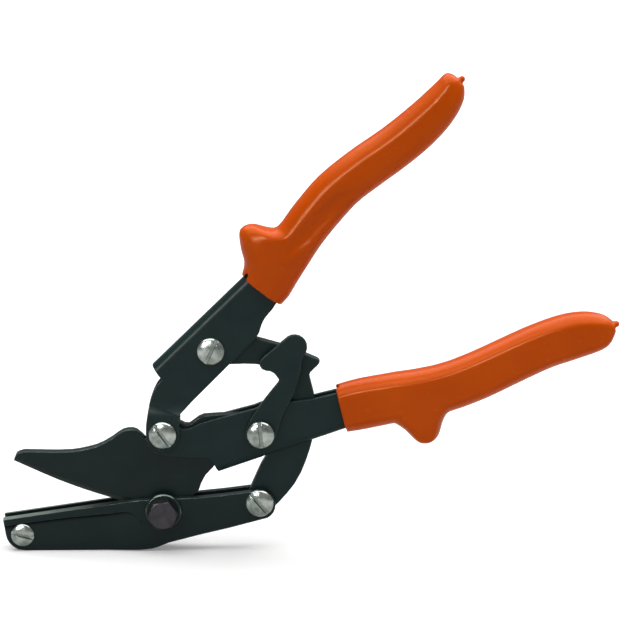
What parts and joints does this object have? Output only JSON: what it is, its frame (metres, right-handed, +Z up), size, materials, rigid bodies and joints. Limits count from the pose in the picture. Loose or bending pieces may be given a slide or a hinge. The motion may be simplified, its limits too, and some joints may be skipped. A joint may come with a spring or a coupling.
{
  "type": "aviation snips",
  "caption": "Double-cut aviation snips: one blade passes between two lower blades, with compound-leverage channel handles, vinyl grips and a hook latch.",
  "frame": {"origin": "on the main pivot's axis, at the centre of the front face of the pivot bolt's hex head", "axes": "+X from the blade tips to the grips, +Z up with the snips standing on edge, +Y through the thickness from the screw heads to the nuts"},
  "size_m": [0.2543, 0.0268, 0.1996],
  "materials": {
    "painted_steel": "satin green-black paint",
    "blade_steel": "satin green-black finish with bare ground edges",
    "zinc_steel": "bright zinc plating, turned",
    "black_oxide_steel": "matt black oxide",
    "spring_steel": "oiled spring steel",
    "orange_vinyl": "semi-gloss orange moulded vinyl"
  },
  "bodies": {
    "lower_handle": {"lower_handle_channel": "painted_steel", "upper_blade": "blade_steel", "lower_grip": "orange_vinyl", "main_pivot_bolt": "black_oxide_steel", "main_pivot_front_washer": "painted_steel", "main_pivot_rear_washer": "painted_steel", "main_pivot_nut": "black_oxide_steel", "handle_pivot_screw": "zinc_steel", "handle_pivot_nut": "zinc_steel", "latch_pivot_screw": "zinc_steel", "latch_pivot_nut": "zinc_steel", "latch_spring_washer": "spring_steel"},
    "upper_handle": {"upper_handle_channel": "painted_steel", "upper_grip": "orange_vinyl", "return_spring": "spring_steel", "link_top_screw": "zinc_steel", "link_top_nut": "zinc_steel"},
    "lower_jaw": {"front_lower_blade": "blade_steel", "rear_lower_blade": "blade_steel", "jaw_tip_spacer": "spring_steel", "jaw_tip_screw": "zinc_steel", "jaw_tip_nut": "zinc_steel", "link_bottom_screw": "zinc_steel", "link_bottom_nut": "zinc_steel"},
    "drive_link": {"drive_link": "painted_steel"},
    "latch": {"latch": "painted_steel"}
  },
  "joints": [
    {"name": "handle_squeeze", "type": "hinge", "parent": "lower_handle", "child": "upper_handle", "pos_m": [0, 0.0134, 0.0327], "axis": [0, 1, 0], "range_deg": [0, 30]},
    {"name": "jaw_close", "type": "hinge", "parent": "lower_handle", "child": "lower_jaw", "pos_m": [0, 0.0134, 0], "axis": [0, 1, 0], "range_deg": [0, 25.1]},
    {"name": "link_swing", "type": "hinge", "parent": "upper_handle", "child": "drive_link", "pos_m": [0.02, 0.0134, 0.0677], "axis": [0, 1, 0], "range_deg": [-15.1, 0], "deforming": ["return_spring"]},
    {"name": "latch_swing", "type": "hinge", "parent": "lower_handle", "child": "latch", "pos_m": [0.0403, 0.0134, 0.0331], "axis": [0, 1, 0], "range_deg": [-12, 3]}
  ],
  "couplings": [
    {"joint": "jaw_close", "follows": "handle_squeeze", "ratio": 0.835},
    {"joint": "link_swing", "follows": "handle_squeeze", "ratio": -0.502}
  ]
}
